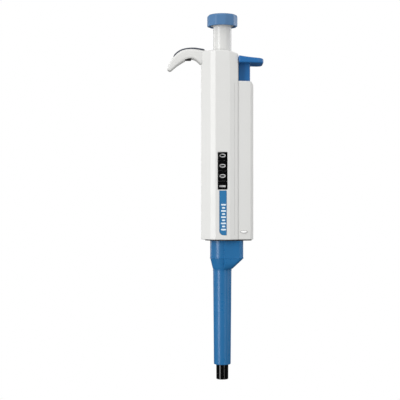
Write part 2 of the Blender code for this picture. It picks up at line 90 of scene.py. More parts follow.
def smooth_path(points, steps=8):
    """Points along a Catmull-Rom curve through the given ones."""
    padded = [Vector(point) for point in (points[0], *points, points[-1])]
    path = []
    for a, b, c, d in zip(padded, padded[1:], padded[2:], padded[3:]):
        for k in range(steps):
            t = k / steps
            path.append(0.5 * (2 * b + (c - a) * t + (2 * a - 5 * b + 4 * c - d) * t ** 2
                               + (3 * b - a - 3 * c + d) * t ** 3))
    return path + [padded[-1]]


def shifted(path, distance):
    """The path moved sideways, to the left of its direction, keeping its end points on their own lines."""
    moved = []
    for i, (x, y) in enumerate(path):
        a, b = path[max(i - 1, 0)], path[min(i + 1, len(path) - 1)]
        dx, dy = b[0] - a[0], b[1] - a[1]
        length = math.hypot(dx, dy)
        moved.append((x - dy / length * distance, y + dx / length * distance))
    return moved


def fillet(radius, steps=5):
    """(inset, drop) pairs around a quarter round, from the side face to the end face."""
    turns = [math.pi / 2 * k / steps for k in range(steps + 1)]
    return [(radius * (1 - math.cos(t)), radius * (1 - math.sin(t))) for t in turns]


def round_corner(radius, height, outside, steps=4, upward=True):
    """Profile points of a rounded outer edge that ends at this height."""
    way = 1 if upward else -1
    return [(outside - inset, height - way * drop) for inset, drop in fillet(radius, steps)]


# Making pieces

def new_object(name, bm, material=None, sharp=30.0):
    """A mesh object from pipette millimetres, placed in the world in metres."""
    bmesh.ops.remove_doubles(bm, verts=bm.verts, dist=0.0004)
    bmesh.ops.dissolve_degenerate(bm, edges=bm.edges, dist=0.0002)
    bmesh.ops.recalc_face_normals(bm, faces=bm.faces)
    if bm.calc_volume(signed=True) < 0:
        bmesh.ops.reverse_faces(bm, faces=bm.faces)
    bm.transform(TO_WORLD)
    mesh = bpy.data.meshes.new(name)
    bm.to_mesh(mesh)
    bm.free()
    obj = bpy.data.objects.new(name, mesh)
    bpy.context.scene.collection.objects.link(obj)
    if material:
        mesh.materials.append(material)
    obj["sharp"] = sharp
    return obj


def skin(bm, rows, closed=False):
    """Quads between rows of equal point count; the points of a row go round. Returns the rows' vertices."""
    made = [[bm.verts.new(point) for point in row] for row in rows]
    pairs = list(zip(made, made[1:])) + ([(made[-1], made[0])] if closed else [])
    for lower, upper in pairs:
        for i in range(len(lower)):
            j = (i + 1) % len(lower)
            bm.faces.new((lower[i], lower[j], upper[j], upper[i]))
    return made


def capped(name, rows, material=None, sharp=30.0):
    """A piece with a skin over these rows and a flat face at each end."""
    bm = bmesh.new()
    made = skin(bm, rows)
    bm.faces.new(made[0])
    bm.faces.new(made[-1])
    return new_object(name, bm, material, sharp)


def block(name, path, opposite, bottom, top, low_round, top_round, material=None, steps=5, sharp=30.0):
    """A body between a front path and the side opposite it, drawn in x and y. bottom(x) and top(x) are its
    end faces, which meet its sides in rounded edges."""
    rows = []
    for inset, drop in reversed(fillet(low_round, steps)):
        rows.append([(x, y, bottom(x) + drop) for x, y in shifted(path, inset)])
    for inset, drop in fillet(top_round, steps):
        rows.append([(x, y, top(x) - drop) for x, y in shifted(path, inset)])
    rings = [row + [(min(max(x, row[0][0]), row[-1][0]), opposite(y), z) for x, y, z in reversed(row)]
             for row in rows]
    bm = bmesh.new()
    made = skin(bm, rings)
    last = len(made[0]) - 1
    for ring in (made[0], made[-1]):
        for i in range(len(path) - 1):
            bm.faces.new((ring[i], ring[i + 1], ring[last - i - 1], ring[last - i]))
    return new_object(name, bm, material, sharp)


def lathe(name, profile, material=None, count=96, shape=None, closed=True, sharp=30.0):
    """A turned piece from (radius, height) points. shape(angle, radius, height) may change the radius."""
    rows = []
    for radius, height in profile:
        row = []
        for i in range(count):
            angle = 2 * math.pi * i / count
            reach = shape(angle, radius, height) if shape else radius
            row.append((reach * math.cos(angle), reach * math.sin(angle), height))
        rows.append(row)
    if not closed:
        return capped(name, rows, material, sharp)
    bm = bmesh.new()
    skin(bm, rows, closed=True)
    return new_object(name, bm, material, sharp)


def slab(name, outline, low, high, along="Y", grow=0.0):
    """An outline pushed from low to high along Y (drawn in x and z) or along Z (drawn in x and y). grow widens
    its low end, as a chamfer."""
    centre = [sum(point[n] for point in outline) / len(outline) for n in (0, 1)]
    bm = bmesh.new()
    ends = []
    for level, extra in ((low, grow), (high, 0.0)):
        row = []
        for a, b in outline:
            a += math.copysign(extra, a - centre[0]) if extra else 0.0
            b += math.copysign(extra, b - centre[1]) if extra else 0.0
            row.append(bm.verts.new((a, level, b) if along == "Y" else (a, b, level)))
        bm.faces.new(row)
        ends.append(row)
    for i in range(len(outline)):
        j = (i + 1) % len(outline)
        bm.faces.new((ends[0][i], ends[0][j], ends[1][j], ends[1][i]))
    return new_object(name, bm)


def rectangle(left, right, low, high, radius=0.0, steps=4):
    """A rectangle's outline with rounded corners."""
    if not radius:
        return [(left, low), (right, low), (right, high), (left, high)]
    points = []
    for x, y, start in ((right - radius, low + radius, 270), (right - radius, high - radius, 0),
                        (left + radius, high - radius, 90), (left + radius, low + radius, 180)):
        for k in range(steps + 1):
            turn = math.radians(start + 90 * k / steps)
            points.append((x + radius * math.cos(turn), y + radius * math.sin(turn)))
    return points


def ellipse(x, y, half_x, half_y, count=36):
    """The outline of an ellipse round this centre."""
    turns = [2 * math.pi * i / count for i in range(count)]
    return [(x + half_x * math.cos(t), y + half_y * math.sin(t)) for t in turns]


def freeze(obj):
    """Turns the object's modifiers into its mesh."""
    bpy.context.view_layer.update()
    evaluated = obj.evaluated_get(bpy.context.evaluated_depsgraph_get())
    mesh = bpy.data.meshes.new_from_object(evaluated)
    obj.modifiers.clear()
    obj.data = mesh


def combine(obj, others, operation):
    for other in others:
        modifier = obj.modifiers.new("combine", "BOOLEAN")
        modifier.operation = operation
        modifier.object = other
        modifier.solver = "EXACT"
    freeze(obj)
    for other in others:
        bpy.data.objects.remove(other, do_unlink=True)


def carve(obj, *cutters):
    combine(obj, cutters, "DIFFERENCE")


def merge(obj, *others):
    combine(obj, others, "UNION")


def soften(obj, width, segments=3, angle=40.0):
    """Rounds the edges that are sharper than angle; width is in millimetres."""
    bevel = obj.modifiers.new("soften", "BEVEL")
    bevel.width = width * MM
    bevel.segments = segments
    bevel.limit_method = "ANGLE"
    bevel.angle_limit = math.radians(angle)
    bevel.use_clamp_overlap = True
    freeze(obj)


def hand_over(obj, body, slot, *nodes):
    """Shades a finished piece, lets it ride on its body and stand for its CAD nodes."""
    obj.data.shade_smooth()
    obj.data.set_sharp_from_angle(angle=math.radians(obj["sharp"]))
    del obj["sharp"]
    normals = obj.modifiers.new("even_normals", "WEIGHTED_NORMAL")
    normals.keep_sharp = True
    normals.weight = 80
    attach(obj, body)
    if nodes:
        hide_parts(*nodes)


# Materials

def add(nodes, kind, **values):
    node = nodes.new(kind)
    for key, value in values.items():
        setattr(node, key, value)
    return node


def noise(tree, vector, scale, detail=3.0, rough=0.55):
    node = add(tree.nodes, "ShaderNodeTexNoise")
    node.inputs["Scale"].default_value = scale
    node.inputs["Detail"].default_value = detail
    node.inputs["Roughness"].default_value = rough
    tree.links.new(vector, node.inputs["Vector"])
    return node.outputs["Fac"]


def remap(tree, value, low, high, start=0.25, end=0.75):
    node = add(tree.nodes, "ShaderNodeMapRange")
    node.inputs["From Min"].default_value = start
    node.inputs["From Max"].default_value = end
    node.inputs["To Min"].default_value = low
    node.inputs["To Max"].default_value = high
    tree.links.new(value, node.inputs["Value"])
    return node.outputs["Result"]


def stretched(tree, coordinates, stretch):
    node = add(tree.nodes, "ShaderNodeMapping")
    node.inputs["Scale"].default_value = stretch
    tree.links.new(coordinates, node.inputs["Vector"])
    return node.outputs["Vector"]


def surface(name, colour, roughness, metallic=0.0, mottle=0.04, vary=0.06, grain=0.006, grain_scale=2600.0,
            stretch=(1.0, 1.0, 1.0), scuffs=0.0, **sockets):
    """A Principled material with blotches of tone, uneven gloss, a fine grain and, with scuffs, hairline wear.
    grain is the height of the surface texture in millimetres; sockets are further values of the shader."""
    made = bpy.data.materials.new(name)
    made.use_nodes = True
    tree = made.node_tree
    links = tree.links
    shader = tree.nodes["Principled BSDF"]
    coordinates = add(tree.nodes, "ShaderNodeTexCoord").outputs["Object"]
    along = stretched(tree, coordinates, stretch)

    blotch = noise(tree, coordinates, 55.0, 4.0)
    ramp = add(tree.nodes, "ShaderNodeMix", data_type="RGBA")
    ramp.inputs["A"].default_value = (*[value * (1 - mottle) for value in colour], 1.0)
    ramp.inputs["B"].default_value = (*[min(1.0, value * (1 + mottle)) for value in colour], 1.0)
    links.new(remap(tree, blotch, 0.0, 1.0, 0.3, 0.7), ramp.inputs["Factor"])
    links.new(ramp.outputs["Result"], shader.inputs["Base Color"])

    gloss = remap(tree, noise(tree, along, 240.0, 5.0, 0.65), roughness - vary, roughness + vary)
    height = noise(tree, along, grain_scale, 2.0)
    if scuffs:
        lines = noise(tree, stretched(tree, coordinates, (1900.0, 1500.0, 90.0)), 1.0, 2.0, 0.4)
        marks = remap(tree, lines, 0.0, 1.0, 0.66, 0.74)
        total = add(tree.nodes, "ShaderNodeMath", operation="MULTIPLY_ADD")
        links.new(marks, total.inputs[0])
        total.inputs[1].default_value = scuffs
        links.new(gloss, total.inputs[2])
        gloss = total.outputs["Value"]
    links.new(gloss, shader.inputs["Roughness"])
    bump = add(tree.nodes, "ShaderNodeBump")
    bump.inputs["Strength"].default_value = 1.0
    bump.inputs["Distance"].default_value = grain * MM
    links.new(height, bump.inputs["Height"])
    links.new(bump.outputs["Normal"], shader.inputs["Normal"])

    shader.inputs["Metallic"].default_value = metallic
    for socket, value in sockets.items():
        shader.inputs[socket.replace("_", " ")].default_value = value
    return made


WHITE_SHELL = surface("white_abs", (0.70, 0.70, 0.685), 0.36, grain=0.0022, mottle=0.012, scuffs=0.10)
WHITE_PART = surface("white_pom", (0.70, 0.70, 0.69), 0.42, grain=0.003, mottle=0.02)
# The latch's white is brighter than the shell's same white plastic: a painted highlight on the domed oval.
LATCH_PAINTED_HIGHLIGHT_WHITE = surface("latch_white_painted_highlight", (0.94, 0.94, 0.93), 0.3, grain=0.0015, mottle=0.01)
SLEEVE_WHITE = surface("dial_white", (0.66, 0.66, 0.645), 0.25, grain=0.0015, mottle=0.015, scuffs=0.08)
KNOB_BLUE = surface("knob_blue", (0.078, 0.195, 0.385), 0.38, grain=0.003, mottle=0.04, scuffs=0.10)
EJECT_BLUE = surface("ejector_blue", (0.016, 0.145, 0.40), 0.34, grain=0.002, mottle=0.05, scuffs=0.10)
SLEEVE_BLUE = surface("sleeve_blue", (0.014, 0.140, 0.345), 0.30, grain=0.0015, mottle=0.04, scuffs=0.04)
NOSE_BLACK = surface("nose_black", (0.002, 0.002, 0.0022), 0.07, grain=0.0006, mottle=0.1, vary=0.02,
                     scuffs=0.05)
WHEEL_BLACK = surface("wheel_black", (0.002, 0.002, 0.0022), 0.45, grain=0.002, mottle=0.15,
                      Specular_IOR_Level=0.08)
MASK_BLACK = surface("mask_black", (0.002, 0.002, 0.0022), 0.6, grain=0.003, mottle=0.15,
                     Specular_IOR_Level=0.08)
DIGIT_GREY = surface("digit_print", (0.95, 0.95, 0.95), 0.5, grain=0.002, mottle=0.06)
LABEL_BLUE = surface("label_blue", (0.03, 0.175, 0.38), 0.22, grain=0.0008, mottle=0.06, vary=0.04)
LABEL_PRINT = surface("label_print", (0.72, 0.83, 0.90), 0.35, grain=0.001, mottle=0.03)
SLATE = surface("slate_rubber", (0.055, 0.065, 0.095), 0.5, grain=0.004, mottle=0.1)
RUBBER = surface("rubber", (0.018, 0.018, 0.019), 0.72, grain=0.01, mottle=0.12)
GREY_PART = surface("grey_nylon", (0.40, 0.41, 0.42), 0.5, grain=0.004, mottle=0.05)
STEEL = surface("brushed_steel", (0.60, 0.60, 0.61), 0.27, metallic=1.0, mottle=0.05, vary=0.08, grain=0.002,
                grain_scale=900.0, stretch=(9.0, 9.0, 0.35), scuffs=0.08)
SPRING_STEEL = surface("spring_steel", (0.50, 0.50, 0.51), 0.32, metallic=1.0, mottle=0.08, vary=0.08,
                       grain=0.002, grain_scale=1500.0)
BRASS = surface("turned_brass", (0.72, 0.53, 0.24), 0.3, metallic=1.0, mottle=0.07, vary=0.08, grain=0.002,
                grain_scale=900.0, stretch=(0.6, 0.6, 12.0), scuffs=0.05)
LENS = surface("window_acrylic", (0.02, 0.02, 0.022), 0.07, grain=0.0005, mottle=0.02, vary=0.03,
               Alpha=0.06, IOR=1.49)
STAGE_WHITE = surface("stage_white", (0.86, 0.86, 0.86), 0.8, grain=0.05, mottle=0.005,
                      Emission_Color=(1.0, 1.0, 1.0, 1.0), Emission_Strength=0.30)


# Handle

SEAM = 0.12                     # half the gap between the two shells
MIDDLE = -0.001                 # where a half outline ends, just short of the plane it is mirrored in
SIDE_FACET, BEVEL_EDGE, FRONT_FACET = (-7.9, -10.6), -4.6, 4.6
RIGHT_EDGE_Y = -9.8
LEVEL_TO = -1.0                 # the top face is level as far as this, then falls in two slopes
FACET_DROP, RIGHT_DROP = 0.6, 2.3
EDGE_ROUND, TOP_ROUND, LOW_ROUND = 1.2, 0.9, 0.55
WALL, RIGHT_WALL = 1.6, 1.3
LENS_GAP, LABEL_GAP = 0.15, 0.12
LABEL_SWEEP = 2.9               # radius of the label's swept corner
GROOVE_X, GROOVE_WIDE, GROOVE_DEEP = 7.7, 0.24, 0.13
SCREWS = (1, 2, 3)
WELL_R, FLARE_R = 2.0, 2.5      # of the screws' wells, which flare from FLARE_Y out through the back
FLARE_Y, PAST_BACK = 8.6, 14.0
shell_low, shell_high = span("front_shell")
LEFT, FRONT, BOTTOM = shell_low.x, shell_low.y, shell_low.z
RIGHT, TOP = shell_high.x, shell_high.z
bush_high = span("top_bush")[1]
sleeve_low, sleeve_high = span("dial_sleeve")
hook_low, hook_high = span("finger_hook")
lens_low, lens_high = span("window_lens")
plate_low, plate_high = span("label_plate")


def body_top(x):
    """The handle's sloping top face."""
    slopes = ((LEVEL_TO, 0.0), (FRONT_FACET, FACET_DROP), (RIGHT, RIGHT_DROP))
    for (x0, drop0), (x1, drop1) in zip(slopes, slopes[1:]):
        if x0 < x <= x1 + 0.01:
            return TOP - drop0 - (drop1 - drop0) * (x - x0) / (x1 - x0)
    return TOP


def body_path():
    """The front half of the handle's outline, from its left seam to its right one."""
    corners = [(LEFT, -SEAM), (LEFT, -4.6), SIDE_FACET, (BEVEL_EDGE, FRONT), (LEVEL_TO, FRONT),
               (FRONT_FACET, FRONT), (RIGHT, RIGHT_EDGE_Y), (RIGHT, -SEAM)]
    return rounded_path(corners, EDGE_ROUND)


def sleeve_passage(name):
    """A cutter for the way through the handle's lower end that the ejector sleeve slides in."""
    clearance, above = 0.35, span("ejector_sleeve")[1].z + 0.8
    return lathe(name, [(clearance, BOTTOM - 2), (clearance, above)], closed=False,
                 shape=lambda angle, grow, height: wide_reach(angle, grow, panel=False))


def facet_groove():
    """A cutter for the fine upright groove in the right-hand front facet."""
    share = (GROOVE_X - FRONT_FACET) / (RIGHT - FRONT_FACET)
    face = FRONT + (RIGHT_EDGE_Y - FRONT) * share
    outline = rectangle(GROOVE_X - GROOVE_WIDE / 2, GROOVE_X + GROOVE_WIDE / 2, BOTTOM + 2.5,
                        span("channel_cover")[1].z - 1.5, GROOVE_WIDE * 0.45)
    return slab("facet_groove", outline, face - 1, face + GROOVE_DEEP)


def turned_over(obj):
    """Mirrors a front piece to the back."""
    bm = bmesh.new()
    bm.from_mesh(obj.data)
    bm.transform(Matrix.Scale(-1, 4, (0, 1, 0)))
    bmesh.ops.reverse_faces(bm, faces=bm.faces)
    bm.to_mesh(obj.data)
    bm.free()


def shell(name, node):
    """One half of the handle, hollow, with its openings. The back half is the front one turned over, with
    wells for the screws in place of the window and the label."""
    made = block(name, body_path(), lambda y: -SEAM, lambda x: BOTTOM, body_top, LOW_ROUND, TOP_ROUND,
                 WHITE_SHELL)
    inside = [(LEFT + WALL, -3.8), (-7.2, -9.4), (-4.0, FRONT + WALL), (FRONT_FACET, FRONT + WALL),
              (RIGHT - RIGHT_WALL, RIGHT_EDGE_Y + WALL), (RIGHT - RIGHT_WALL, 2.0), (LEFT + WALL, 2.0)]
    hollow = slab("hollow", inside, BOTTOM + WALL, bush_high.z + 0.3, along="Z")
    hole_r, mouth_r = sleeve_high.x + 0.5, sleeve_high.x + 1.3
    hole = lathe("top_hole", [(hole_r, bush_high.z - 2), (hole_r, TOP - 0.7), (mouth_r, TOP + 0.1),
                              (mouth_r, TOP + 2)], closed=False)
    notch = slab("notch", rectangle(LEFT - 2, hook_high.x + 0.1, hook_high.z - HOOK_ROOT - 0.1, TOP + 2),
                 hook_low.y - 0.1, hook_high.y + 0.1)
    carve(made, hollow, hole, notch, sleeve_passage("passage"))
    if node == "front_shell":
        opening = rectangle(lens_low.x - LENS_GAP, lens_high.x + LENS_GAP, lens_low.z - LENS_GAP,
                            lens_high.z + LENS_GAP, 0.45)
        carve(made, slab("window_cut", opening, FRONT - 0.02, FRONT + 3),
              slab("window_lip", opening, FRONT - 0.02, FRONT + 0.38, grow=0.4))
        carve(made, slab("label_cut", label_outline(LABEL_GAP), FRONT - 1, FRONT + 0.5), facet_groove())
    else:
        turned_over(made)
        for number in SCREWS:
            low, high = span(f"shell_screw_{number}")
            middle = (low + high) / 2
            well = slab("well", ellipse(middle.x, middle.z, WELL_R, WELL_R), high.y - 1.5, PAST_BACK)
            flare = slab("flare", ellipse(middle.x, middle.z, FLARE_R, FLARE_R), FLARE_Y, PAST_BACK)
            carve(made, well, flare)
    hand_over(made, "handle", "white_shell", node)


def label_outline(grow):
    """The label's outline in x and z: a plate with its lower left corner swept away."""
    left, right = plate_low.x - grow, plate_high.x + grow
    low, high = plate_low.z - grow, plate_high.z + grow
    turns = [math.radians(15 * k) for k in range(7)]
    sweep = [(left + LABEL_SWEEP * (1 - math.cos(t)), low + LABEL_SWEEP * (1 - math.sin(t))) for t in turns]
    return sweep + [(right, low), (right, high), (left, high)]


def channel_cover():
    """The cover of the ejector's channel, with a round top corner and the mouth that the stem slides in."""
    low, high = span("channel_cover")
    corner = 3.0

    def top(x):
        past = max(0.0, x - (high.x - corner))
        return high.z - corner + math.sqrt(max(0.0, corner ** 2 - past ** 2))

    corners = [(RIGHT - 0.02, -9.25), (high.x - corner, -8.42), (18.2, -8.2), (high.x, -6.2), (high.x, 0.0)]
    path = rounded_path(corners, 1.0)
    fine = [path[0]]
    for a, b in zip(path, path[1:]):
        count = 7 if b[0] > high.x - corner and b[0] - a[0] > 0.2 else 1
        fine += [(a[0] + (b[0] - a[0]) * k / count, a[1] + (b[1] - a[1]) * k / count)
                 for k in range(1, count + 1)]
    fine[-1] = (high.x, MIDDLE)
    made = block("channel_cover_fine", fine, lambda y: -y, lambda x: low.z, top, LOW_ROUND, 0.9, WHITE_SHELL)
    inside = [(low.x - 1, -8.0), (16.9, -6.9), (high.x - WALL, -5.4)]
    inside += [(x, -y) for x, y in reversed(inside)]
    hollow = slab("hollow", inside, low.z + WALL, high.z - WALL, along="Z")
    half = STEM_HALF + 0.4
    mouth = slab("mouth", rectangle(low.x - 1, STEM_RIGHT + 0.35, -half, half), high.z - 3, high.z + 1,
                 along="Z")
    latch = slab("latch_cut", ellipse(*latch_place(), 2.28, 0.93), -12, -5)
    carve(made, hollow, mouth, sleeve_passage("passage"), latch)
    hand_over(made, "handle", "white_shell", "channel_cover")


def lower_seal():
    """A thin dark rubber plate under the handle, round the opening that the ejector sleeve slides in, put there
    to paint the shadow line along the handle's bottom edge.
    """
    front = [(-11.2, -5.4), (-7.5, -10.0), (-4.4, -11.4), (4.5, -11.4), (10.0, -9.3), (17.8, -7.7),
             (18.9, -6.3)]
    outline = front + [(x, -y) for x, y in reversed(front)]
    seal = slab("lower_seal", outline, BOTTOM - 0.62, BOTTOM - 0.02, along="Z")
    # Dark rubber: painted shadow line under the handle's bottom edge.
    seal.data.materials.append(RUBBER)
    carve(seal, sleeve_passage("passage"))
    soften(seal, 0.12, 2)
    hand_over(seal, "handle", "rubber_part")


def latch_place():
    """The latch's centre in x and z."""
    low, high = span("cover_latch")
    return (low.x + high.x) / 2, (low.z + high.z) / 2


def cover_latch():
    """A small domed oval that presses in to free the cover; its extra bright white is a painted highlight."""
    low, high = span("cover_latch")
    half_x, half_z = (high.x - low.x) / 2, (high.z - low.z) / 2
    foot_y = high.y - 1.1
    rows = []
    for share, out in ((1.0, 0.0), (1.0, 0.68), (0.97, 0.833), (0.9, 0.918), (0.5, 0.969), (0.2, 0.986)):
        outline = ellipse(*latch_place(), half_x * share, half_z * share)
        rows.append([(x, foot_y - out, z) for x, z in outline])
    hand_over(capped("cover_latch_fine", rows, LATCH_PAINTED_HIGHLIGHT_WHITE, 60), "handle", "white_part", "cover_latch")


# Finger hook

# The hook's top and underside from its root to its tip, as (right, down) steps from the upper left of its box.
HOOK_ROOT = 10.4                # how far the root's lower edge is below the hook's top
HOOK_TOP = [(25.3, 0.9), (24.5, 0.95), (16.0, -0.02), (8.5, 1.5), (2.9, 6.9), (0.0, 12.9)]
HOOK_UNDER = [(25.3, HOOK_ROOT), (22.2, HOOK_ROOT), (18.5, 7.4), (15.3, 6.6), (11.2, 8.1), (6.2, 11.3),
              (2.6, 14.3)]
HOOK_STEPS = 56                 # sections from root to tip
REST_PAD_HALF = 3.6


def hook_curves():
    """Evenly spaced points along the hook's top and along its underside, from its root to its tip."""
    def even(points):
        path = smooth_path([(hook_low.x + right, hook_high.z - down) for right, down in points])
        lengths = [0.0]
        for a, b in zip(path, path[1:]):
            lengths.append(lengths[-1] + (b - a).length)
        result = []
        for i in range(HOOK_STEPS + 1):
            goal = lengths[-1] * i / HOOK_STEPS
            k = max(n for n in range(len(path) - 1) if lengths[n] <= goal + 1e-9)
            share = (goal - lengths[k]) / (lengths[k + 1] - lengths[k])
            result.append(path[k].lerp(path[k + 1], share))
        return result

    return even(HOOK_TOP), even(HOOK_UNDER)


def hook_depth(x):
    """Half the hook's depth, which narrows towards its tip."""
    return hook_high.y + min(0.0, x + 18.0) * 0.1


def hook_section(middle, half, depth, count, across_power, up_power):
    """A section with rounded corners: middle and half are in x and z, depth is half its size in y. The lower
    the powers, the squarer it is."""
    row = []
    for k in range(count):
        turn = 2 * math.pi * k / count
        c, s = math.cos(turn), math.sin(turn)
        across = math.copysign(abs(c) ** across_power, c) * depth
        up = math.copysign(abs(s) ** up_power, s)
        row.append((middle.x + half.x * up, across, middle.y + half.y * up))
    return row


def finger_hook():
    """The curved hook, with a rounded tip and a pocket for its pad."""
    top, under = hook_curves()
    rows = []
    for high, low in zip(top, under):
        middle, half = (high + low) / 2, (high - low) / 2
        depth = hook_depth(middle.x)
        across_power = 0.36 + 0.14 * min(1.0, half.length / depth)
        rows.append(hook_section(middle, half, depth, 40, across_power, 0.42))
    tip, tip_row = (top[-1] + under[-1]) / 2, rows[-1]
    heading = (tip - (top[-3] + under[-3]) / 2).normalized()
    for share, out in ((0.86, 0.35), (0.6, 0.62), (0.3, 0.74)):
        centre = tip + heading * out
        rows.append([(centre.x + (x - tip.x) * share, y * (0.7 + 0.3 * share), centre.y + (z - tip.y) * share)
                     for x, y, z in tip_row])
    hook = capped("finger_hook_fine", rows, WHITE_SHELL, 50)
    pad_low, pad_high = span("hook_rest_pad")
    pocket = slab("pocket", rectangle(pad_low.x - 0.25, pad_high.x + 0.25, pad_low.z - 3, pad_high.z + 0.2),
                  -REST_PAD_HALF - 0.2, REST_PAD_HALF + 0.2)
    carve(hook, pocket)
    hand_over(hook, "handle", "white_shell", "finger_hook")


def hook_strip():
    """The thin dark strip along the hook's top, with rounded edges."""
    low, high = span("hook_strip")
    top = hook_curves()[0]
    path = [(p.x, p.y) for p in top if low.x + 0.4 < p.x < high.x]
    rows = []
    for i, (a, b) in enumerate(zip(shifted(path, -0.75), shifted(path, 0.3))):
        ending = min(1.0, 0.25 + 0.75 * min(i, len(path) - 1 - i) / 2)
        middle, half = (Vector(a) + Vector(b)) / 2, (Vector(a) - Vector(b)) / 2 * ending
        rows.append(hook_section(middle, half, hook_depth(a[0]) - 0.9, 24, 0.3, 0.6))
    hand_over(capped("hook_strip_fine", rows, SLATE, 50), "handle", "slate_strip", "hook_strip")


def hook_rest_pad():
    """The small dark pad that a finger rests against, in the top of the hook's crook."""
    low, high = span("hook_rest_pad")
    corners = [(low.x, MIDDLE), (low.x, -REST_PAD_HALF), (high.x, -REST_PAD_HALF), (high.x, MIDDLE)]
    made = block("hook_rest_pad_fine", rounded_path(corners, 0.9), lambda y: -y, lambda x: low.z,
                 lambda x: high.z, 0.35, 0.3, RUBBER)
    hand_over(made, "handle", "rubber_part", "hook_rest_pad")


# Window, label and counter

def window():
    """The clear lens and the dark frame behind it."""
    lens = slab("window_lens_fine", rectangle(lens_low.x, lens_high.x, lens_low.z, lens_high.z, 0.4),
                lens_low.y, lens_high.y)
    lens.data.materials.append(LENS)
    soften(lens, 0.2)
    hand_over(lens, "handle", "lens", "window_lens")
    low, high = span("window_mask")
    mask = slab("window_mask_fine", rectangle(low.x, high.x, low.z, high.z, 0.6), low.y, high.y)
    mask.data.materials.append(MASK_BLACK)
    opening = rectangle(lens_low.x + 0.1, lens_high.x - 0.1, lens_low.z + 0.1, lens_high.z - 0.1, 0.4)
    carve(mask, slab("mask_cut", opening, low.y - 1, high.y + 1))
    soften(mask, 0.12, 2)
    hand_over(mask, "handle", "black_part", "window_mask")


def label():
    """The blue label plate and the plain bars printed on it."""
    plate = slab("label_plate_fine", label_outline(0.0), plate_low.y, plate_high.y)
    plate.data.materials.append(LABEL_BLUE)
    soften(plate, 0.08, 2)
    hand_over(plate, "handle", "label", "label_plate")
    middle = (plate_low.x + plate_high.x) / 2 + 0.35
    first, pitch, half_tall = plate_low.z + 3.6, 2.0, 0.5
    bars = []
    for step in range(9):
        z = first + pitch * step
        half = 1.6 if step % 2 == 0 else 1.05
        outline = rectangle(middle - half, middle + half, z - half_tall, z + half_tall, 0.45)
        bars.append(slab("bar", outline, plate_low.y - 0.03, plate_low.y + 0.1))
    merge(*bars)
    bars[0].name = "label_bars"
    bars[0].data.materials.append(LABEL_PRINT)
    hand_over(bars[0], "handle", "label")


DIGIT_TALL, DIGIT_WIDE, DIGIT_THICK = 4.1, 2.4, 0.05
WHEEL_BORE, WHEEL_EDGE = 5.5, 0.35              # radius of the bore, and the bevel at both ends
NOTCHES, NOTCH_DEEP = 20, 0.16
SHOWN = {"thousands": 1, "hundreds": 0, "tens": 0, "units": 0}


def digit_mesh(text):
    """A digit as a thin plate: x across it, y up it and z out of it, centred, in millimetres."""
    curve = bpy.data.curves.new("digit", "FONT")
    curve.body = text
    curve.extrude = 0.02
    curve.offset = 0.012
    curve.resolution_u = 4
    obj = bpy.data.objects.new("digit", curve)
    bpy.context.scene.collection.objects.link(obj)
    bpy.context.view_layer.update()
    bm = bmesh.new()
    bm.from_mesh(bpy.data.meshes.new_from_object(obj.evaluated_get(bpy.context.evaluated_depsgraph_get())))
    bpy.data.objects.remove(obj, do_unlink=True)
    sizes = (DIGIT_WIDE * (0.5 if text == "1" else 1.0), DIGIT_TALL, DIGIT_THICK)
    for n, size in enumerate(sizes):
        low, high = min(v.co[n] for v in bm.verts), max(v.co[n] for v in bm.verts)
        for v in bm.verts:
            v.co[n] = (v.co[n] - (low + high) / 2) * size / (high - low)
    for k in range(-4, 5):      # cuts across it, so that it can bend round the wheel
        geometry = bm.verts[:] + bm.edges[:] + bm.faces[:]
        bmesh.ops.bisect_plane(bm, geom=geometry, plane_co=(0, k * 0.45, 0), plane_no=(0, 1, 0), dist=1e-5)
    return bm


def wheel_drum(node, low, high):
    """A number wheel with shallow notches round both of its ends."""
    radius = high.y

    def notched(angle, reach, height):
        near_end = min(height - low.z, high.z - height) < WHEEL_EDGE * 1.5
        if not near_end or reach <= radius - 1:
            return reach
        return reach - NOTCH_DEEP * (0.5 + 0.5 * math.cos(NOTCHES * angle))

    profile = [(WHEEL_BORE, low.z), (radius - WHEEL_EDGE, low.z), (radius, low.z + WHEEL_EDGE),
               (radius, low.z + 2 * WHEEL_EDGE), (radius, high.z - 2 * WHEEL_EDGE),
               (radius, high.z - WHEEL_EDGE), (radius - WHEEL_EDGE, high.z), (WHEEL_BORE, high.z)]
    return lathe(f"{node}_fine", profile, WHEEL_BLACK, 160, notched)


def wheel_digits(node, radius, middle, value, step, faces):
    """The ten digits round a wheel, each step more than the one before, with value at the front."""
    bm = bmesh.new()
    for place in range(10):
        turn = math.radians(36 * (value - place))
        face = faces[place * step % 10]
        copies = {}
        for v in face.verts:
            angle = turn - v.co.y / radius
            reach = radius + v.co.z + DIGIT_THICK / 2
            copies[v] = bm.verts.new((reach * math.sin(angle), -reach * math.cos(angle), middle + v.co.x))
        for f in face.faces:
            bm.faces.new([copies[v] for v in f.verts])
    return new_object(f"{node}_digits", bm, DIGIT_GREY)


def counter_wheels():
    """The four number wheels. Their digits are read upwards, the largest place at the bottom."""
    faces = [digit_mesh(str(digit)) for digit in range(10)]
    for wheel, value in SHOWN.items():
        node = f"wheel_{wheel}"
        low, high = span(node)
        hand_over(wheel_drum(node, low, high), node, "counter_wheel", node)
        step = 5 if wheel == "units" else 1
        digits = wheel_digits(node, high.y, (low.z + high.z) / 2, value, step, faces)
        hand_over(digits, node, "counter_wheel")
    for bm in faces:
        bm.free()


# Knob

KNOB_SIDES, KNOB_ANGLE = 10, math.radians(-8.0)
KNOB_R, ROUND_TO, BLUNT = 10.0, 8.6, 0.991      # corner radius, where the flats begin, the corners' share of it
KNOB_CEILING, SOCKET_TOP, SOCKET_R = 234.0, 236.0, 2.3


def ten_sided(angle, radius, height):
    """The knob's outline: flats between slightly blunted corners, round again inside it."""
    if radius < ROUND_TO:
        return radius
    wedge = 2 * math.pi / KNOB_SIDES
    off = (angle - KNOB_ANGLE) % wedge - wedge / 2
    flat = radius * math.cos(wedge / 2) / math.cos(off)
    share = min(1.0, (radius - ROUND_TO) / 0.6)
    return min(flat, radius * BLUNT) * share + radius * (1 - share)


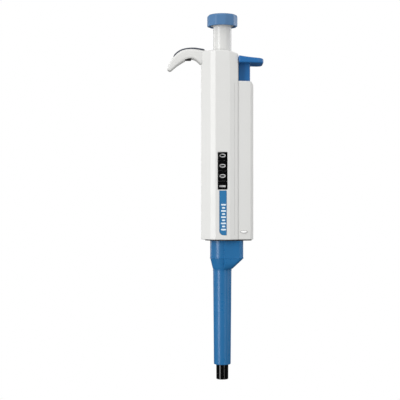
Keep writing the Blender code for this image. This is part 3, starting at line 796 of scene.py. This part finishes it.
def knob():
    """The push button, with a dished top and a socket for the rod, and the cap inset in it."""
    low, high = span("push_button")
    top, bottom = high.z, low.z
    profile = [(0.4, top - 1.0), (7.0, top - 1.0), (7.15, top - 0.9), (7.3, top - 0.25), (7.6, top - 0.02)]
    profile += reversed(round_corner(1.35, top, KNOB_R, 6))
    profile += [(KNOB_R, bottom + 0.45), (KNOB_R - 0.13, bottom + 0.13), (KNOB_R - 0.45, bottom),
                (8.55, bottom), (8.4, bottom + 0.15), (8.2, KNOB_CEILING), (2.6, KNOB_CEILING + 0.2),
                (SOCKET_R, KNOB_CEILING + 0.6), (SOCKET_R, SOCKET_TOP), (0.4, SOCKET_TOP)]
    button = lathe("push_button_fine", profile, KNOB_BLUE, 240, ten_sided, sharp=22)
    hand_over(button, "knob", "knob", "push_button")
    low, high = span("button_cap")
    reach, rim = high.x, low.z + 0.35
    dome = [(0.02, low.z), (reach - 0.15, low.z), (reach, low.z + 0.15), (reach, rim)]
    dome += [(reach * math.cos(t), rim + (high.z - rim) * math.sin(t))
             for t in (math.radians(9 * k) for k in range(1, 10))]
    dome += [(0.02, high.z)]
    cap = lathe("button_cap_fine", dome, KNOB_BLUE, 96, closed=False, sharp=40)
    hand_over(cap, "knob", "knob", "button_cap")


def dial_sleeve():
    """The round sleeve under the knob, with a collar at its top inside the knob's skirt."""
    low, high = sleeve_low, sleeve_high
    outer, inner, ring = high.x, 4.9, high.x + 0.55
    ring_low, collar_low, collar = 232.3, 230.8, 7.55
    profile = [(inner, low.z), (outer - 0.3, low.z), (outer, low.z + 0.3), (outer, ring_low), (ring, ring_low),
               (ring, collar_low + 0.15), (ring + 0.15, collar_low), (collar - 0.25, collar_low),
               (collar, collar_low + 0.25), (collar, high.z - 0.9), (collar - 0.4, high.z - 0.5),
               (outer - 0.1, high.z), (inner, high.z)]
    made = lathe("dial_sleeve_fine", profile, SLEEVE_WHITE, 128)
    hand_over(made, "knob", "dial_sleeve", "dial_sleeve")


# Ejector

eject_low, eject_high = span("ejector_sleeve")
WIDE_R, WIDE_END, WIDE_CORNER = 7.9, 13.5, 3.0              # the wide upper section
PANEL_LEFT, PANEL_STEP = 1.05, 0.4
SLEEVE_WALL, RIM = 1.1, 0.2
PANEL_RIDGES, RIDGE = (90.3, 89.0, 87.7), 0.22      # their heights; how proud and half how wide they are
TAPER_LOW, TAPER_HIGH = 71.5, 79.0
FOOT_R, NECK_R, RING_R = 6.05, 5.9, 6.2         # radii at the taper's foot: its end, a groove, a ring
TUBE_HIGH_R, TUBE_LOW_R, TUBE_ROUND = 6.0, 5.5, 0.5
NOSE_BORE, TUBE_BORE = 4.25, 4.8
ROD_BORE = 1.9
LUG_LOW, LUG_HIGH, ARM_LOW, ARM_HALF = 107.0, 112.0, 101.0, 3.4
PAD_BOTTOM, PAD_CORNER, PAD_NEAR_CORNER = 206.0, 4.6, 0.9
PAD_SLOPE, PAD_FALL, PAD_DISH = 0.45, 1.9, 0.25     # its underside's and its top's fall, its top's hollow
STEM_HALF, STEM_RIGHT, STEM_TOP, STEM_BORE_TOP = 4.8, 18.0, 207.5, 190.5


def wide_reach(angle, grow, panel=True):
    """How far the ejector sleeve's wide section reaches at this angle: half round on the left, and a flat-sided
    panel with round corners on the right that stands a little proud of it."""
    ux, uy = math.cos(angle), abs(math.sin(angle))
    radius = WIDE_R + grow
    if ux <= 0:
        return radius
    step = PANEL_STEP if panel else 0.0
    half, end, corner = radius + step, WIDE_END + grow, WIDE_CORNER + grow
    centre = (end - corner, half - corner)
    if radius * ux < PANEL_LEFT:
        return radius
    if half * ux <= centre[0] * uy:
        return half / uy
    if end * uy <= centre[1] * ux:
        return end / ux
    along = ux * centre[0] + uy * centre[1]
    return along + math.sqrt(max(0.0, corner ** 2 - (centre[0] ** 2 + centre[1] ** 2 - along ** 2)))


def ejector_sleeve():
    """The long blue sleeve that pushes the tip off."""
    count = 192
    angles = [2 * math.pi * i / count for i in range(count)]

    def wide(grow, height, ridge=0.0):
        row = []
        for angle in angles:
            reach = wide_reach(angle, grow)
            x, y = reach * math.cos(angle), reach * math.sin(angle)
            if PANEL_LEFT + 1.2 < x < WIDE_END - 1.6:
                y += math.copysign(ridge, y)
            row.append((x, y, height))
        return row

    def tube(radius, height):
        return [(radius * math.cos(angle), radius * math.sin(angle), height) for angle in angles]

    def taper(share, height):
        """A row of the taper: share 0 is the wide section, 1 the tube. The panel keeps its depth longest."""
        row = []
        for a, b in zip(wide(0.0, height), tube(FOOT_R, height)):
            inward = share ** 3 if a[0] > PANEL_LEFT else share
            row.append((a[0] * (1 - share) + b[0] * share, a[1] * (1 - inward) + b[1] * inward, height))
        return row

    low, high = eject_low.z, eject_high.z
    rows = [wide(-0.25, high), wide(0.0, high - 0.25)]
    for z in PANEL_RIDGES:
        rows += [wide(0.0, z + 0.3), wide(0.0, z + RIDGE, RIDGE), wide(0.0, z - RIDGE, RIDGE),
                 wide(0.0, z - 0.3)]
    rows += [wide(0.0, TAPER_HIGH + 0.65), wide(RIM, TAPER_HIGH + 0.45), wide(RIM, TAPER_HIGH + 0.1),
             taper(0.02, TAPER_HIGH - 0.1)]
    rows += [taper(k / 8, TAPER_HIGH + (TAPER_LOW - TAPER_HIGH) * k / 8) for k in range(1, 8)]
    start, end = TAPER_LOW - 0.6, low + TUBE_ROUND
    rows += [tube(NECK_R, TAPER_LOW + 0.25), tube(NECK_R, TAPER_LOW + 0.05), tube(RING_R, TAPER_LOW - 0.1),
             tube(RING_R, TAPER_LOW - 0.4), tube(TUBE_HIGH_R, start)]
    rows += [tube(TUBE_HIGH_R + (TUBE_LOW_R - TUBE_HIGH_R) * k / 6, start + (end - start) * k / 6)
             for k in range(1, 7)]
    rows += [tube(r, z) for r, z in round_corner(TUBE_ROUND, low, TUBE_LOW_R, 5, upward=False)[1:]]
    rows += [tube(NOSE_BORE + 0.2, low), tube(NOSE_BORE, low + 0.2), tube(NOSE_BORE, 14.0),
             tube(TUBE_BORE, 15.0), tube(TUBE_BORE, TAPER_LOW)]
    rows += [wide(-SLEEVE_WALL, TAPER_HIGH), wide(-SLEEVE_WALL, high)]
    bm = bmesh.new()
    skin(bm, rows, closed=True)
    sleeve = new_object("ejector_sleeve_fine", bm, SLEEVE_BLUE, 24)
    merge(sleeve, ejector_lug())
    hand_over(sleeve, "ejector", "ejector_blue", "ejector_sleeve")


def rod_bore(low, high):
    """A cutter for the bore that the ejector's rod passes through."""
    rod_low, rod_high = span("ejector_rod")
    return slab("bore", ellipse((rod_low.x + rod_high.x) / 2, 0.0, ROD_BORE, ROD_BORE), low, high, along="Z")


def ejector_lug():
    """The arm inside the channel that joins the sleeve to the ejector's rod."""
    arm = slab("arm", rectangle(10.9, 13.2, ARM_LOW, LUG_HIGH), -ARM_HALF, ARM_HALF)
    merge(arm, slab("lug", rectangle(12.0, 17.8, LUG_LOW, LUG_HIGH), -ARM_HALF, ARM_HALF))
    carve(arm, rod_bore(ARM_LOW - 1, LUG_HIGH + 2))
    soften(arm, 0.3, 2)
    return arm


def ejector_button():
    """The thumb pad and the stem that carries it down into the channel."""
    low, high = span("ejector_button")
    left, right, front = low.x - 0.25, high.x, -high.y
    near, corner = PAD_NEAR_CORNER, PAD_CORNER
    plan = [(left, MIDDLE), (left, front + near)]
    plan += [(left + near * (1 - math.cos(t)), front + near * (1 - math.sin(t)))
             for t in (math.radians(18 * k) for k in range(1, 6))]
    edge_left, edge_right = left + 3, right - corner
    plan += [(edge_left + (edge_right - edge_left) * k / 8, front) for k in range(9)]
    plan += [(edge_right + corner * math.sin(t), front + corner * (1 - math.cos(t)))
             for t in (math.radians(9 * k) for k in range(1, 11))]
    plan += [(right, MIDDLE)]

    def top(x):
        share = (x - left) / (right - left)
        return high.z - PAD_FALL * share - PAD_DISH * math.sin(math.pi * share)

    def bottom(x):
        return PAD_BOTTOM - PAD_SLOPE * (x - left) / (right - left)

    pad = block("ejector_button_fine", plan, lambda y: -y, bottom, top, 0.8, 0.8, EJECT_BLUE, 6, 35)
    corners = [(left, MIDDLE), (left, -STEM_HALF), (STEM_RIGHT, -STEM_HALF), (STEM_RIGHT, MIDDLE)]
    stem = block("stem", rounded_path(corners, 0.9), lambda y: -y, lambda x: low.z, lambda x: STEM_TOP,
                 0.4, 0.2)
    carve(stem, rod_bore(low.z - 1, STEM_BORE_TOP))
    merge(pad, stem)
    hand_over(pad, "ejector", "ejector_blue", "ejector_button")


# Nose

def tip_cone():
    """The black nose that takes the tip, and its wider body up inside the handle."""
    low, high = span("tip_cone")
    end_r, end_round = 3.5, 0.4
    profile = [(1.9, low.z), (end_r, low.z)]
    profile += [(end_r + end_round * math.sin(t), low.z + end_round * (1 - math.cos(t)))
                for t in (math.radians(22.5 * k) for k in range(1, 5))]
    profile += [(4.0, 14.5), (4.5, 24.0), (4.5, 77.0), (high.x, 80.5), (high.x, high.z - 0.2),
                (high.x - 0.2, high.z), (4.4, high.z), (4.4, 81.0), (2.6, 76.0), (1.6, 12.0),
                (1.6, low.z + 0.3)]
    hand_over(lathe("tip_cone_fine", profile, NOSE_BLACK, 96), "handle", "tip_cone", "tip_cone")


def shell_screws():
    """Pan-head screws with a cross recess, in the back shell's wells."""
    head_r, shank_r, arm_long, arm_wide = 1.7, 1.0, 1.0, 0.19
    for number in SCREWS:
        node = f"shell_screw_{number}"
        low, high = span(node)
        x, z = (low.x + high.x) / 2, (low.z + high.z) / 2
        head = slab(f"{node}_fine", ellipse(x, z, head_r, head_r), high.y - 1.3, high.y)
        head.data.materials.append(STEEL)
        soften(head, 0.35, 3)
        carve(head, *[slab("recess", rectangle(x - a, x + a, z - b, z + b, 0.1), high.y - 0.7, high.y + 1)
                      for a, b in ((arm_long, arm_wide), (arm_wide, arm_long))])
        merge(head, slab("shank", ellipse(x, z, shank_r, shank_r), low.y, high.y - 1.0))
        hand_over(head, "handle", "steel_part", node)


# Springs, coiled to their CAD nodes' length

SPRINGS = (                     # CAD node, its joint, turns, wire radius and how far the joint presses it
    ("main_spring", "plunger_press", 9, 0.40, 15.2),
    ("blowout_spring", "blowout_travel", 3, 0.45, 2.5),
    ("ejector_spring", "tip_eject", 7, 0.45, 8.5),
)


def spring(node, joint, turns, wire, travel):
    """A compression spring with closed ends."""
    low, high = span(node)
    centre, radius = (low.x + high.x) / 2, (high.x - low.x) / 2 - wire
    per_turn, around = 32, 10
    length = high.z - low.z
    bottom, rise = low.z + wire, length - 2 * wire
    closed_end = 2.1 * wire
    rows = []
    for i in range(turns * per_turn + 1):
        done = i / per_turn
        if done < 1:
            height = closed_end * done
        elif done > turns - 1:
            height = rise - closed_end * (turns - done)
        else:
            height = closed_end + (rise - 2 * closed_end) * (done - 1) / (turns - 2)
        turn = 2 * math.pi * done
        row = []
        for k in range(around):
            round_wire = 2 * math.pi * k / around
            reach = radius + wire * math.cos(round_wire)
            row.append((centre + reach * math.cos(turn), reach * math.sin(turn),
                        bottom + height + wire * math.sin(round_wire)))
        rows.append(row)
    coil = capped(f"{node}_fine", rows, SPRING_STEEL, 60)
    hand_over(coil, "handle", "steel_part", node)
    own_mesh(coil)


# Inner pieces keep their CAD shape

INNER = {
    "top_bush": GREY_PART, "counter_tube": GREY_PART, "cylinder_nut": GREY_PART, "spring_seat": GREY_PART,
    "counter_frame": WHITE_PART, "lower_bulkhead": WHITE_PART, "rod_guide": WHITE_PART,
    "screw_nut": BRASS, "adjusting_screw": BRASS, "piston_coupling": BRASS,
    "cylinder": STEEL, "stop_ring": STEEL, "blowout_plate": STEEL, "operating_rod": STEEL, "stop_collar": STEEL,
    "piston": STEEL, "ejector_rod": STEEL, "rod_clip": STEEL, "piston_o_ring": RUBBER,
}


def inner_pieces():
    for node, material in INNER.items():
        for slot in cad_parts[node].material_slots:
            slot.material = material


# Stage, light and camera

AIM = TO_WORLD @ Vector((0.0, 0.0, 120.0))
FLOOR_Z, FLOOR_R = -60.0, 236.0
CAMERA_AT, LENS_LENGTH, SENSOR = (-14.6, -680.0, 117.05), 93.45, 36.0
WHITE = (1.0, 1.0, 1.0, 1.0)
SOFTBOXES = (                   # azimuth and elevation in degrees, distance, width and height in metres, watts
    ("key", -47, 6, 0.9, 0.28, 0.85, 4.7),
    ("fill", 37, 4, 1.0, 0.06, 0.8, 0.95),
    ("overhead", 10, 68, 1.1, 0.9, 0.6, 2.2),
    ("back_left", -130, 15, 1.1, 0.4, 0.8, 2.4),
    ("back_right", 125, 15, 1.1, 0.4, 0.8, 2.4),
    ("side_right", 80, 8, 1.1, 0.3, 0.8, 1.4),
    ("side_left", -88, 5, 1.1, 0.3, 0.8, 0.4),
)


def clear_from_below(material):
    """Lets a view from underneath see through the floor."""
    tree = material.node_tree
    shown = add(tree.nodes, "ShaderNodeMath", operation="SUBTRACT")
    shown.inputs[0].default_value = 1.0
    tree.links.new(add(tree.nodes, "ShaderNodeNewGeometry").outputs["Backfacing"], shown.inputs[1])
    tree.links.new(shown.outputs["Value"], tree.nodes["Principled BSDF"].inputs["Alpha"])


def stage():
    """A white floor below the pipette, outside the camera's view, that casts no light on it."""
    bm = bmesh.new()
    bmesh.ops.create_circle(bm, cap_ends=True, segments=96, radius=FLOOR_R,
                            matrix=Matrix.Translation((0, 0, FLOOR_Z)))
    clear_from_below(STAGE_WHITE)
    floor = new_object("floor", bm, STAGE_WHITE)
    del floor["sharp"]
    if floor.data.polygons[0].normal.z < 0:
        floor.data.flip_normals()
    floor.visible_diffuse = False
    floor.visible_glossy = False


def softbox(name, azimuth, elevation, distance, width, height, power):
    """An area light aimed at the handle; azimuth 0 is in front of it and turns towards +X."""
    light = bpy.data.lights.new(name, "AREA")
    light.shape = "RECTANGLE"
    light.size, light.size_y = width, height
    light.energy = power
    obj = bpy.data.objects.new(name, light)
    bpy.context.scene.collection.objects.link(obj)
    a, e = math.radians(azimuth), math.radians(elevation)
    offset = Vector((math.sin(a) * math.cos(e), -math.cos(a) * math.cos(e), math.sin(e))) * distance
    obj.location = AIM + offset
    obj.rotation_euler = (-offset).to_track_quat("-Z", "Y").to_euler()


def background(tree, strength=1.0):
    node = add(tree.nodes, "ShaderNodeBackground")
    node.inputs["Color"].default_value = WHITE
    node.inputs["Strength"].default_value = strength
    return node


def mixed(tree, factor, first, second):
    node = add(tree.nodes, "ShaderNodeMixShader")
    tree.links.new(factor, node.inputs[0])
    tree.links.new(first.outputs[0], node.inputs[1])
    tree.links.new(second.outputs[0], node.inputs[2])
    return node


def lights():
    """The softboxes and the world, which is white to the camera, faint in reflections and otherwise brighter
    from above."""
    for values in SOFTBOXES:
        softbox(*values)
    world = bpy.data.worlds.new("studio")
    bpy.context.scene.world = world
    world.use_nodes = True
    tree = world.node_tree
    tree.nodes.clear()
    split = add(tree.nodes, "ShaderNodeSeparateXYZ")
    tree.links.new(add(tree.nodes, "ShaderNodeTexCoord").outputs["Generated"], split.inputs[0])
    seen, cast, mirrored = background(tree), background(tree), background(tree, 0.04)
    tree.links.new(remap(tree, split.outputs["Z"], 0.40, 0.72, -0.4, 0.15), cast.inputs["Strength"])
    ray = add(tree.nodes, "ShaderNodeLightPath").outputs
    unseen = mixed(tree, ray["Is Glossy Ray"], cast, mirrored)
    output = add(tree.nodes, "ShaderNodeOutputWorld")
    tree.links.new(mixed(tree, ray["Is Camera Ray"], unseen, seen).outputs[0], output.inputs[0])
    settings = bpy.context.scene.view_settings
    settings.view_transform = "Standard"
    settings.look = "None"


def camera():
    data = bpy.data.cameras.new("camera")
    data.sensor_width = SENSOR
    data.lens = LENS_LENGTH
    data.clip_end = 20.0
    obj = bpy.data.objects.new("camera", data)
    bpy.context.scene.collection.objects.link(obj)
    obj.location = TO_WORLD @ Vector(CAMERA_AT)
    obj.rotation_euler = (math.radians(90), 0, 0)
    bpy.context.scene.camera = obj


shell("front_shell_fine", "front_shell")
shell("back_shell_fine", "back_shell")
channel_cover()
lower_seal()
cover_latch()
finger_hook()
hook_strip()
hook_rest_pad()
window()
label()
counter_wheels()
knob()
dial_sleeve()
ejector_sleeve()
ejector_button()
tip_cone()
shell_screws()
for values in SPRINGS:
    spring(*values)
inner_pieces()
stage()
lights()
camera()
